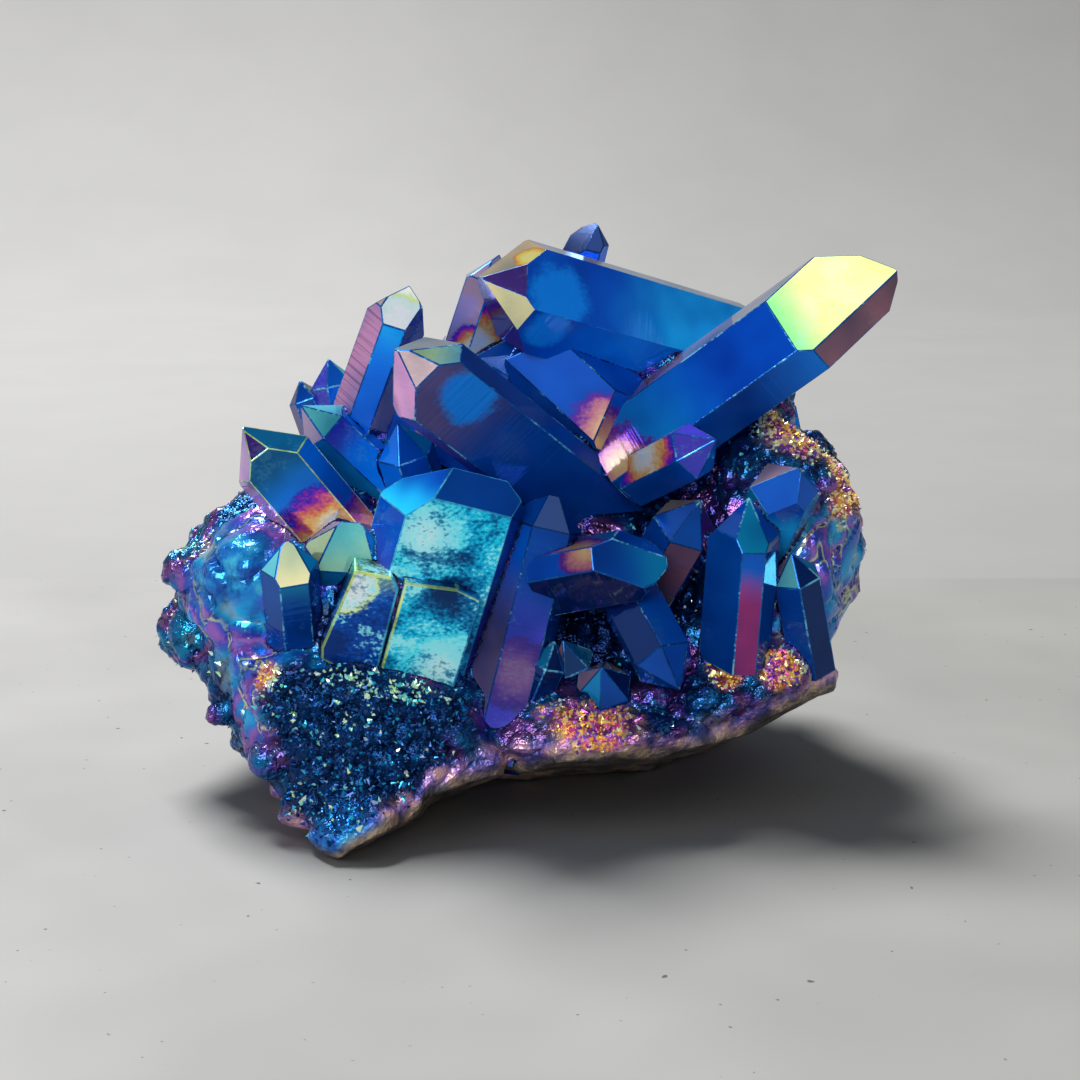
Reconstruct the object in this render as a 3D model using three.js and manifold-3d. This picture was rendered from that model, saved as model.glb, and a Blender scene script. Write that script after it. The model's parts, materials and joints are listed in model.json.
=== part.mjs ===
// Aura quartz cluster: crystals grown together on a lumpy druse base, in one solid.
// Millimetres, +Z up, -Y is the front. The tables are in the coordinates that the cluster
// was measured in, and at the end it is moved so that its middle is over the origin.
import * as THREE from 'three';
import { ConvexGeometry } from 'three/addons/geometries/ConvexGeometry.js';
import { mergeVertices } from 'three/addons/utils/BufferGeometryUtils.js';
import Module from 'manifold-3d';

const wasm = await Module();
wasm.setup();

// Quartz habit: a six-sided prism whose end faces lean this far from the crystal's axis.
const SIDES = 6;
const SIDE_TURN = (2 * Math.PI) / SIDES;
const END_LEAN = THREE.MathUtils.degToRad(51.8);
const EVEN_SIDES = Array(SIDES).fill(1);
const NO_DROPS = Array(SIDES).fill(0);

// The large crystals. `tip` and `foot` are on the axis, `width` is across the flats, and
// `roll` turns the prism: at 0 one face looks to the front. `sides` scales each face's
// distance from the axis, and `drops` sinks each end face below the tip.
const CRYSTALS = [
  // the three long ones across the top, and the one between them
  { tip: [-8.5, -8, 70], foot: [27, 17.5, 57], width: 15.5, roll: -31,
    sides: [0.75, 0.7, 0.9, 0.7, 1, 0.9], drops: [-1.5, -2.5, -1.5, 0, 0, 1] },
  { tip: [-18, -24, 63.5], foot: [14, 9, 31.5], width: 13.5, roll: -1,
    sides: [0.6, 0.9, 0.7, 1, 0.7, 0.9], drops: [-1.5, -1, 0, 0, 0, -0.5] },
  { tip: [47, -5, 72.5], foot: [10, 1.5, 44], width: 13, roll: -31,
    sides: [0.95, 1.05, 0.85, 1, 1, 1], drops: [9, 6.5, -2, -6, -4, -2] },
  { tip: [-7, -8, 58.5], foot: [17, 9, 46], width: 13, roll: 8,
    sides: [0.9, 1, 1, 1, 1, 1], drops: [9, 2, 0, 0, 4, 9] },
  // the back row
  { tip: [7.5, 16, 76.5], foot: [1, 17, 50], width: 5.5, roll: 10, drops: [1, 0, 0, 0, 0, 2] },
  { tip: [-5.5, 8, 72], foot: [-15, 8, 44], width: 7.5, roll: 31,
    sides: [1, 1, 1, 1, 0.9, 1], drops: [0, 0, 0, 0, 0, -1] },
  { tip: [0, 6, 63], foot: [-9, 6, 42], width: 12, roll: 20 },
  { tip: [-17.5, 0, 68.5], foot: [-27.5, 4.5, 42], width: 8.5, roll: 11,
    sides: [1.05, 0.7, 1.2, 1, 0.8, 1], drops: [-1, -2, 0, 0, 0, -2.5] },
  { tip: [-29, 6, 58], foot: [-25, 4, 38], width: 6, roll: 20 },
  { tip: [-33, 6, 55], foot: [-27, 4, 38], width: 4.5, roll: 0 },
  // the left group
  { tip: [-38, -14, 52], foot: [-22.5, -9, 31], width: 9.2, roll: 2,
    sides: [0.8, 1.1, 1, 1, 1, 1.05], drops: [-1.5, -0.5, 0, 0, 0, -1] },
  { tip: [-32, -3, 53], foot: [-17, 2, 37], width: 7, roll: 25 },
  { tip: [-19, -5, 51], foot: [-15, 0, 35], width: 7, roll: 15 },
  { tip: [-24, -18, 41], foot: [-28, -5, 24], width: 9, roll: 11,
    sides: [0.85, 1, 1, 1, 1, 1.1], drops: [2, 0, 0, 1, 0, 0] },
  { tip: [-32, -22, 39], foot: [-32, -14, 20], width: 6.5, roll: 16, drops: [1, 0, 0, 0, 0, 0] },
  // the stout front block, and the one beside it
  { tip: [-8.5, -14, 51], foot: [-20, -10, 12], width: 16.3, roll: 7,
    sides: [0.75, 1.1, 1.15, 1, 1, 1.05], drops: [0, -5.5, 0, 8, 0, 0] },
  { tip: [2, -11, 44], foot: [-7, -15, 8], width: 9, roll: 10, drops: [0, 0, 0, 3, 0, 0] },
  // the arch over the hollow, and what stands in it
  { tip: [17.5, -18, 35.5], foot: [0, -13, 31], width: 8.6, roll: -29,
    sides: [1.2, 0.8, 1, 1, 1.05, 1.05], drops: [3, 0, 0, 0, -1.5, 1.5] },
  { tip: [18, -22, 19], foot: [11, -10, 30], width: 7.5, roll: 15 },
  { tip: [3, -12, 23], foot: [7, -6, 10], width: 6, roll: 10 },
  { tip: [8, -18, 21], foot: [9, -9, 10], width: 7, roll: 20 },
  { tip: [2, -16, 24], foot: [-5, -13, 6], width: 5, roll: 30 },
  // the right group
  { tip: [33, -16, 47], foot: [29.5, -1, 31], width: 8.5, roll: 6,
    sides: [0.95, 0.85, 1.15, 1, 1, 1], drops: [-3, -1, 0, 0, 0, 0] },
  { tip: [27, -15, 43], foot: [26, -12, 20], width: 8.3, roll: -54,
    sides: [0.85, 1.15, 0.95, 1, 1, 1.15] },
  { tip: [33, -12, 35], foot: [38, -5, 12], width: 6, roll: 30 },
  { tip: [23, -12, 50], foot: [13, -3, 43], width: 7, roll: 20 },
  { tip: [21, -12, 42], foot: [15, -3, 28], width: 8, roll: 10 },
  // the back
  { tip: [23, 24, 61], foot: [15, 14, 34], width: 12, roll: 25, drops: [0, 0, 2, 5, 0, 0] },
  { tip: [5, 31, 62], foot: [3, 17, 34], width: 12, roll: 5, drops: [0, 3, 0, 0, 1, 0] },
  { tip: [-13, 31, 60], foot: [-7, 16, 34], width: 10, roll: 15, drops: [0, 0, 3, 0, 0, 1] },
  { tip: [-27, 26, 55], foot: [-17, 14, 32], width: 9, roll: 40 },
  { tip: [37, 24, 50], foot: [23, 14, 28], width: 9, roll: 10, drops: [0, 0, 0, 3, 0, 0] },
  { tip: [-2, 45, 45], foot: [0, 20, 28], width: 9, roll: 20, drops: [2, 0, 0, 0, 0, 0] },
  { tip: [21, 43, 41], foot: [13, 22, 26], width: 8, roll: 0 },
  { tip: [-23, 42, 39], foot: [-14, 22, 26], width: 9, roll: 30, drops: [0, 0, 2, 0, 0, 0] },
  { tip: [-41, 22, 44], foot: [-26, 10, 28], width: 8, roll: 15 },
  { tip: [44, 17, 39], foot: [28, 10, 26], width: 8, roll: 35 },
  { tip: [9, 46, 24], foot: [6, 26, 20], width: 7, roll: 10 },
  { tip: [-12, 43, 22], foot: [-8, 24, 20], width: 6.5, roll: 25 },
  { tip: [-37, 33, 27], foot: [-22, 18, 20], width: 8, roll: 5 },
  { tip: [36, 34, 26], foot: [22, 20, 20], width: 8, roll: 20, drops: [0, 2, 0, 0, 0, 0] },
];

// Two steps grown on the front block's face: outlines on the face as [across, up from the
// block's tip], how far they stand off it, and the bevel round them.
const STEP_BLOCK = 15;
const STEPS = [
  [[-12.4, -30.4], [-10.9, -19], [-6.1, -18.7], [-4.8, -20], [-4.5, -32.7], [-5.8, -33.7], [-12, -32]],
  [[-4.2, -32.3], [-4.3, -19], [2.5, -18.2], [5.9, -19], [5.8, -32.2], [2.1, -33.6]],
];
const STEP_STANDS = 2;
const STEP_DEPTH = 8;
const STEP_BEVEL = 0.6;

// The base is a heap of rounded lumps: centre and radii.
const BOULDERS = [
  { at: [0, 13, 20], radii: [36, 23, 26] },
  { at: [-30, 1, 25], radii: [19, 19, 17] },
  { at: [-36, -10, 30], radii: [10, 9, 10] },
  { at: [31, 5, 30], radii: [13, 14, 21] },
  { at: [27, -4, 16], radii: [12, 12, 9] },
  { at: [6, -10, 11], radii: [22, 13, 7] },
  { at: [-18, 19, 26], radii: [20, 16, 21] },
  { at: [16, 18, 27], radii: [22, 16, 22] },
  { at: [10, 10, 44], radii: [12, 12, 12] },
  { at: [26, 17, 45], radii: [10, 11, 13] },
];

// The keel: the wedge that runs down from the left side to the lowest point of the rim.
const KEEL = [
  [-24.6, -32, 0], [-20, -30, 1], [-15.5, -27, 3.5], [-5, -23, 7.5],
  [-29.5, -27, 2], [-36, -20, 7], [-44, -10, 14], [-48, 0, 24], [-44, 8, 26],
  [-42, -15, 24], [-33, -22, 21], [-22, -26, 19], [-10, -24, 15],
  [-30, 8, 4], [-33, -12, 0], [-8, 0, 0], [-5, -8, 22], [-30, 0, 34],
];
const BOULDER_DETAIL = 2;
const BOULDER_ROUGHNESS = 0.11;

// Druse lumps over the base, and small crystals that sprout from its back and sides.
const LUMP_COUNT = 88;
const LUMPS_AT_BACK = 0.3;
const LUMP_SIZE = { smallest: 2.2, largest: 6.5 };
const LUMP_SUNK = 0.4;
const LUMP_FINE_FROM = 4.4;
const LUMP_ROUGHNESS = 0.16;
const LUMP_NARROWEST = 0.6;
const SPROUT_COUNT = 20;
const SPROUT_LENGTH = { shortest: 7, longest: 19 };
const SPROUT_SUNK = 0.4;
const SPROUT_LEAN = 0.9;
const SPROUT_STOUTNESS = { least: 0.35, most: 0.6 };
const SPROUT_DROP = 0.15;

// Sprouts stay off the front, off the sharp rim, inside the width of the large crystals
// and under a roof that falls away to both sides.
const BARE_FRONT = { behind: 6, within: 38 };
const BARE_RIM = 8;
const BARE_EDGE = { beyond: 34, below: 24 };
const SPROUT_REACH = 45;
const SPROUT_ROOF = { height: 60, fall: 0.5 };

// The broken underside rises to the front right. Its profile, seen from the front, is
// [x, z] where the rim is furthest forward, and it falls towards the back at `UNDERCUT_FALL`.
const UNDERCUT = [
  [-34, -14], [-24.6, -4.2], [-15.6, 1.5], [-14.4, 4], [-7.7, 6.6], [2, 9], [15, 9.8],
  [26, 13], [34, 18], [39, 20.5], [70, 30], [70, -60], [-34, -60],
];
const UNDERCUT_FRONT = -22;
const UNDERCUT_FALL = 0.43;
const UNDERCUT_HALF_DEPTH = 60;

const SEED = 11;
const MERGE_WITHIN = 1e-4;

/** Small repeatable random numbers, from 0 up to 1. */
function randomSource(seed) {
  let state = seed;
  return () => {
    state = (state + 0x6d2b79f5) | 0;
    let mixed = Math.imul(state ^ (state >>> 15), 1 | state);
    mixed = (mixed + Math.imul(mixed ^ (mixed >>> 7), 61 | mixed)) ^ mixed;
    return ((mixed ^ (mixed >>> 14)) >>> 0) / 4294967296;
  };
}

/** Turns a closed three.js geometry into a solid. */
function solidFrom(geometry) {
  const bare = geometry.clone();
  bare.deleteAttribute('normal');
  bare.deleteAttribute('uv');
  const merged = mergeVertices(bare, MERGE_WITHIN);
  const mesh = new wasm.Mesh({
    numProp: 3,
    vertProperties: new Float32Array(merged.attributes.position.array),
    triVerts: new Uint32Array(merged.index.array),
  });
  return new wasm.Manifold(mesh);
}

/** Turns a solid back into a three.js geometry with flat facets. */
function geometryFrom(solid) {
  const mesh = solid.getMesh();
  const geometry = new THREE.BufferGeometry();
  geometry.setAttribute('position', new THREE.BufferAttribute(mesh.vertProperties, 3));
  geometry.setIndex(new THREE.BufferAttribute(mesh.triVerts, 1));
  return geometry;
}

/** Keeps the part of a solid on the side of a plane that `facing` points to. */
function keepBeyond(solid, at, facing) {
  const normal = facing.clone().normalize();
  return solid.trimByPlane(normal.toArray(), normal.dot(at));
}

/** The prism's outline: six straight sides at their own distances from the axis. */
function prismOutline(width, roll, sides) {
  const corners = [];
  for (let k = 0; k < SIDES; k += 1) {
    const [turn, nextTurn] = [roll + k * SIDE_TURN, roll + (k + 1) * SIDE_TURN];
    const reach = (width / 2) * sides[k];
    const nextReach = (width / 2) * sides[(k + 1) % SIDES];
    corners.push(new THREE.Vector2(
      (reach * Math.sin(nextTurn) - nextReach * Math.sin(turn)) / Math.sin(SIDE_TURN),
      (nextReach * Math.cos(turn) - reach * Math.cos(nextTurn)) / Math.sin(SIDE_TURN),
    ));
  }
  return new THREE.Shape(corners);
}

/** A crystal's axis, and the two directions square to it: to the front and across. */
function crystalFrame(tip, foot) {
  const axis = new THREE.Vector3(...tip).sub(new THREE.Vector3(...foot)).normalize();
  const front = new THREE.Vector3(0, -1, 0);
  front.addScaledVector(axis, -front.dot(axis)).normalize();
  return { front, across: axis.clone().cross(front), axis };
}

/** One crystal: the prism, cut by its six end faces. */
function crystal({ tip, foot, width, roll = 0, sides = EVEN_SIDES, drops = NO_DROPS }) {
  const { front, across, axis } = crystalFrame(tip, foot);
  const base = new THREE.Vector3(...foot);
  const length = base.distanceTo(new THREE.Vector3(...tip));
  const place = new THREE.Matrix4().makeBasis(front, across, axis).setPosition(base);

  const turn = THREE.MathUtils.degToRad(roll);
  const outline = prismOutline(width, turn, sides);
  const prism = new THREE.ExtrudeGeometry(outline, { depth: length + width, bevelEnabled: false });
  let solid = solidFrom(prism.applyMatrix4(place));
  for (let k = 0; k < SIDES; k += 1) {
    const around = turn + k * SIDE_TURN;
    const inward = new THREE.Vector3()
      .addScaledVector(front, -Math.sin(END_LEAN) * Math.cos(around))
      .addScaledVector(across, -Math.sin(END_LEAN) * Math.sin(around))
      .addScaledVector(axis, -Math.cos(END_LEAN));
    const at = base.clone().addScaledVector(axis, length - drops[k]);
    solid = keepBeyond(solid, at, inward);
  }
  return solid;
}

/** One rounded lump with an uneven surface. */
function lump(at, radii, detail, roughness, random) {
  const ball = new THREE.IcosahedronGeometry(1, detail);
  ball.deleteAttribute('normal');
  ball.deleteAttribute('uv');
  const round = mergeVertices(ball, MERGE_WITHIN);
  const places = round.attributes.position;
  const point = new THREE.Vector3();
  for (let i = 0; i < places.count; i += 1) {
    point.fromBufferAttribute(places, i);
    point.multiplyScalar(1 + roughness * (2 * random() - 1));
    places.setXYZ(i, point.x * radii[0], point.y * radii[1], point.z * radii[2]);
  }
  return solidFrom(round.translate(...at));
}

/** The base: the boulders heaped together. */
function matrix(random) {
  const lumps = BOULDERS.map(({ at, radii }) => (
    lump(at, radii, BOULDER_DETAIL, BOULDER_ROUGHNESS, random)));
  const keel = new ConvexGeometry(KEEL.map((corner) => new THREE.Vector3(...corner)));
  return wasm.Manifold.union([...lumps, solidFrom(keel)]);
}

/** The base's triangles, each with the area of all up to it, to pick places from evenly. */
function facesOf(solid) {
  const { vertProperties, triVerts } = solid.getMesh();
  const faces = [];
  let areaSoFar = 0;
  for (let i = 0; i < triVerts.length; i += 3) {
    const corners = [0, 1, 2].map((k) => (
      new THREE.Vector3().fromArray(vertProperties, 3 * triVerts[i + k])));
    const triangle = new THREE.Triangle(...corners);
    areaSoFar += triangle.getArea();
    faces.push({ triangle, areaSoFar });
  }
  return faces;
}

/** A random place on the base, and the way out from it. */
function placeOn(faces, random) {
  const pick = random() * faces[faces.length - 1].areaSoFar;
  const { triangle } = faces.find(({ areaSoFar }) => areaSoFar >= pick);
  const [along, across] = [Math.sqrt(random()), random()];
  const point = triangle.a.clone().multiplyScalar(1 - along)
    .addScaledVector(triangle.b, along * (1 - across))
    .addScaledVector(triangle.c, along * across);
  return { point, way: triangle.getNormal(new THREE.Vector3()) };
}

/** The value this share of the way from the least to the most. */
function between(least, most, share) {
  return least + (most - least) * share;
}

/** The lower right edge, which stays bare. */
function isLowerRight(point) {
  return point.x > BARE_EDGE.beyond && point.z < BARE_EDGE.below;
}

/** Small lumps over the base. */
function druse(faces, random) {
  const grains = [];
  while (grains.length < LUMP_COUNT) {
    const { point, way } = placeOn(faces, random);
    const size = between(LUMP_SIZE.smallest, LUMP_SIZE.largest, random() ** 2);
    const skipped = point.y > 0 && random() > LUMPS_AT_BACK;
    if (skipped || isLowerRight(point)) continue;
    const narrower = () => size * between(LUMP_NARROWEST, 1, random());
    const radii = [size, narrower(), narrower()];
    point.addScaledVector(way, -LUMP_SUNK * size);
    const detail = size > LUMP_FINE_FROM ? 1 : 0;
    grains.push(lump(point.toArray(), radii, detail, LUMP_ROUGHNESS, random));
  }
  return grains;
}

/** Small crystals on the back and the sides, lower than the large ones. */
function sprouts(faces, random) {
  const grown = [];
  while (grown.length < SPROUT_COUNT) {
    const { point, way } = placeOn(faces, random);
    const length = between(SPROUT_LENGTH.shortest, SPROUT_LENGTH.longest, random() ** 2);
    const lean = new THREE.Vector3(random() - 0.5, random() - 0.5, random() - 0.2);
    const axis = way.clone().addScaledVector(lean, SPROUT_LEAN).normalize();
    const tip = point.clone().addScaledVector(axis, length * (1 - SPROUT_SUNK));
    const foot = point.clone().addScaledVector(axis, -length * SPROUT_SUNK);
    const roof = SPROUT_ROOF.height - SPROUT_ROOF.fall * Math.abs(tip.x);
    const atFront = tip.y < BARE_FRONT.behind && Math.abs(tip.x) < BARE_FRONT.within;
    const outside = point.z < BARE_RIM || tip.z > roof || Math.abs(tip.x) > SPROUT_REACH;
    if (atFront || outside || isLowerRight(point)) continue;
    const stoutness = between(SPROUT_STOUTNESS.least, SPROUT_STOUTNESS.most, random());
    const roll = THREE.MathUtils.radToDeg(SIDE_TURN) * random();
    const drops = Array.from({ length: SIDES }, () => SPROUT_DROP * length * random());
    grown.push(crystal({
      tip: tip.toArray(), foot: foot.toArray(), width: length * stoutness, roll, drops,
    }));
  }
  return grown;
}

/** The steps on the front block's face, in the block's own frame. */
function steps() {
  const { tip, foot, width, roll, sides } = CRYSTALS[STEP_BLOCK];
  const { front, across, axis } = crystalFrame(tip, foot);
  const turn = THREE.MathUtils.degToRad(roll);
  const out = front.clone().multiplyScalar(Math.cos(turn)).addScaledVector(across, Math.sin(turn));
  const along = axis.clone().cross(out);
  const place = new THREE.Matrix4().makeBasis(along, axis, out.clone());
  const stand = (width / 2) * sides[0] + STEP_STANDS - STEP_DEPTH - STEP_BEVEL;
  place.setPosition(new THREE.Vector3(...tip).addScaledVector(out, stand));
  return STEPS.map((corners) => {
    const outline = new THREE.Shape(corners.map(([x, y]) => new THREE.Vector2(x, y)));
    const slab = new THREE.ExtrudeGeometry(outline, {
      depth: STEP_DEPTH, bevelThickness: STEP_BEVEL, bevelSize: STEP_BEVEL,
      bevelOffset: -STEP_BEVEL, bevelSegments: 1,
    });
    return solidFrom(slab.applyMatrix4(place));
  });
}

/** What was broken away below the rim. */
function undercut() {
  const outline = new THREE.Shape(UNDERCUT.map(([x, z]) => new THREE.Vector2(x, z)));
  const depth = 2 * UNDERCUT_HALF_DEPTH;
  const block = new THREE.ExtrudeGeometry(outline, { depth, bevelEnabled: false });
  block.rotateX(Math.PI / 2).translate(0, UNDERCUT_HALF_DEPTH, 0);
  const fall = new THREE.Matrix4().set(
    1, 0, 0, 0,
    0, 1, 0, 0,
    0, -UNDERCUT_FALL, 1, UNDERCUT_FALL * UNDERCUT_FRONT,
    0, 0, 0, 1,
  );
  return solidFrom(block.applyMatrix4(fall));
}

/** The largest body of a solid, without the chips that a cut leaves. */
function largestBody(solid) {
  const bodies = solid.decompose();
  return bodies.reduce((best, body) => (body.volume() > best.volume() ? body : best));
}

/** The whole cluster: the base with its druse, and the crystals that grow from it. */
function clusterSolid() {
  const random = randomSource(SEED);
  const bare = matrix(random);
  const faces = facesOf(bare);
  const base = wasm.Manifold.union([bare, ...druse(faces, random), ...sprouts(faces, random)]);
  const grown = wasm.Manifold.union([base, ...CRYSTALS.map(crystal), ...steps()]);
  const up = new THREE.Vector3(0, 0, 1);
  return largestBody(keepBeyond(grown.subtract(undercut()), new THREE.Vector3(), up));
}

const cluster = new THREE.Mesh(
  geometryFrom(clusterSolid()),
  new THREE.MeshStandardMaterial({ color: 0x12509a, roughness: 0.18, metalness: 0.35 }),
);
cluster.name = 'quartz_cluster';
cluster.geometry.computeBoundingBox();
const middle = cluster.geometry.boundingBox.getCenter(new THREE.Vector3());
cluster.position.set(-middle.x, -middle.y, 0);

const group = new THREE.Group();
group.add(cluster);
export default group;
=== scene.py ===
"""The looks of an aura quartz cluster: blue see-through crystals under an iridescent coat."""
import itertools
import json
import math
import random
from typing import NamedTuple

import bmesh
import bpy
import numpy as np
from mathutils import Matrix, Vector, noise

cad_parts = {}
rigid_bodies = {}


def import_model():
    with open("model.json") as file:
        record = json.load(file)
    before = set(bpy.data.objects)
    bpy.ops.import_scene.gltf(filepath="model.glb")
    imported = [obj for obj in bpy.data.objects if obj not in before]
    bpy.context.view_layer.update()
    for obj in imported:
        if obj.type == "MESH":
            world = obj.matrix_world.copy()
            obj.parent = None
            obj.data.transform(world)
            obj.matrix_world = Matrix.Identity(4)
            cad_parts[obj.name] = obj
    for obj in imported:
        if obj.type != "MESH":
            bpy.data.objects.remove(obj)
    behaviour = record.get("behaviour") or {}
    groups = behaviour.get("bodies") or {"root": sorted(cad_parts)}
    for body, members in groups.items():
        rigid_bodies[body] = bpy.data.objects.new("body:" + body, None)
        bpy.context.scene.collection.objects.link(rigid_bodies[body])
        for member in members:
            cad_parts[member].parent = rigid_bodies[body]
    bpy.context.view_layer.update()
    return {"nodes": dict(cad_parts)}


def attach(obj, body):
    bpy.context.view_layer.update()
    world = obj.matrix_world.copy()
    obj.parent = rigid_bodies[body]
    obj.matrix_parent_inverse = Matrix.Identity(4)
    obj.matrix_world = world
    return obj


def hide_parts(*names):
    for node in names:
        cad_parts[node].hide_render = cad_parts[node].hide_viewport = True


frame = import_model()
scene = bpy.context.scene

# Shapes are made in millimetres, in the coordinates that the cluster was measured in. Its
# middle there lies over the frame's origin.
MM = 0.001
MIDDLE = Vector((-2.48, 5.97, 0))

# Quartz habit: a six-sided prism whose end faces lean this far from the crystal's axis.
SIDES = 6
SIDE_TURN = 2 * math.pi / SIDES
END_LEAN = math.radians(51.8)
EVEN = (1,) * SIDES
FLUSH = (0,) * SIDES

# Coats: the colour of the film, how much of a mirror it is, and how grainy. The pale ones laid
# on faces that mirror bright light, such as tan, lavender, lime and mint, are painted
# reflection as well as the film's colour.
COATS = {
    "blue": ((0.002, 0.18, 0.85), 0.08, 0.0),
    "royal": ((0.001, 0.08, 0.56), 0.08, 0.0),
    "navy": ((0.001, 0.055, 0.34), 0.08, 0.0),
    "midnight": ((0.001, 0.012, 0.09), 0.08, 0.0),
    "azure": ((0.01, 0.46, 1.0), 0.1, 0.0),
    "teal": ((0.002, 0.2, 0.45), 0.15, 0.0),
    "deep_teal": ((0.002, 0.11, 0.26), 0.15, 0.05),
    "violet": ((0.06, 0.05, 0.52), 0.2, 0.05),
    "plum": ((0.07, 0.02, 0.2), 0.25, 0.05),
    "mauve": ((0.11, 0.09, 0.26), 0.3, 0.0),
    "umber": ((0.24, 0.15, 0.22), 0.5, 0.05),
    "rose": ((0.8, 0.46, 0.72), 0.55, 0.05),
    "pink_gold": ((1.0, 0.7, 0.8), 0.25, 0.15),
    "lavender": ((0.42, 0.35, 0.5), 0.5, 0.0),
    "tan": ((0.56, 0.43, 0.37), 0.6, 0.0),
    "olive": ((0.95, 1.0, 0.45), 0.2, 0.05),
    "sage": ((0.13, 0.62, 0.75), 0.5, 0.05),
    "moss": ((0.42, 0.66, 0.38), 0.5, 0.05),
    "lime": ((0.98, 0.95, 0.3), 0.75, 0.12),
    "green": ((0.12, 0.6, 0.2), 0.75, 0.12),
    "speckled_green": ((0.3, 0.6, 0.15), 0.6, 0.8),
    "speckled_navy": ((0.002, 0.1, 0.5), 0.3, 0.6),
    "mint": ((0.76, 1.0, 0.98), 0.1, 0.05),
    "aqua": ((0.01, 0.62, 0.95), 0.5, 1.0),
    "dusk_teal": ((0.04, 0.22, 0.26), 0.45, 0.05),
    "dusk_moss": ((0.2, 0.3, 0.1), 0.45, 0.05),
    "magenta": ((0.28, 0.02, 0.16), 0.3, 0.0),
    "pink": ((0.42, 0.26, 0.46), 0.5, 0.0),
}


class Crystal(NamedTuple):
    """A large crystal. Its tip and foot are on its axis, and its width is across the flats.

    Faces are numbered from the front one, which looks straight ahead at a roll of 0, round to
    the right. `sides` scales each face's distance from the axis, and `drops` sinks each end
    face below the tip. `ends` and `walls` name the coats of single faces: one, or two and how
    far below the tip the first gives way to the second. `lit` gives a face's painted highlight,
    a bright spot in the film's colours: its kind, where it is across the face and along the
    crystal from its tip, and its radius; it counts the end faces on after the walls. `edges`
    names the tint of the edges, a painted edge highlight when pale or lime.
    """
    tip: tuple
    foot: tuple
    width: float
    roll: float = 0
    sides: tuple = EVEN
    drops: tuple = FLUSH
    ends: dict = {}
    walls: dict = {}
    lit: dict = {}
    edges: str = "plain"


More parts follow.
